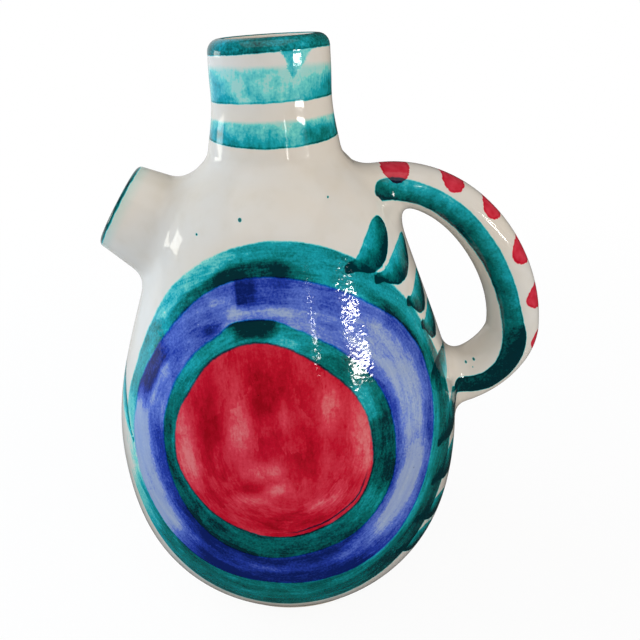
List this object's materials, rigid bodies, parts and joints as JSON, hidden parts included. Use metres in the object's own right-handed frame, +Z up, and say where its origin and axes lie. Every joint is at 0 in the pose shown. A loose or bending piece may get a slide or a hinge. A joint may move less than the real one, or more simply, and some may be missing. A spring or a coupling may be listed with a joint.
{
  "type": "wine carafe",
  "caption": "Round-bellied glazed earthenware wine carafe with a narrow open neck, a short round pouring spout on one side and a thick loop handle on the other.",
  "frame": {"origin": "centre of the foot's resting face, on the vessel's axis", "axes": "+Z up along the vessel's axis, +X towards the handle, -X towards the spout, -Y towards the painted front"},
  "size_m": [0.1786, 0.143, 0.22],
  "materials": {
    "foot_clay": "bare fired clay with a glazed edge",
    "white_glaze": "glossy white glaze",
    "painted_glaze": "glossy white glaze with brushed green, blue and red decoration"
  },
  "bodies": {
    "root": {"base": "foot_clay", "body_wall": "painted_glaze", "neck": "painted_glaze", "spout": "white_glaze", "spout_joint_coil": "white_glaze", "handle": "painted_glaze", "handle_top_coil": "white_glaze", "handle_low_coil": "white_glaze"}
  },
  "joints": []
}
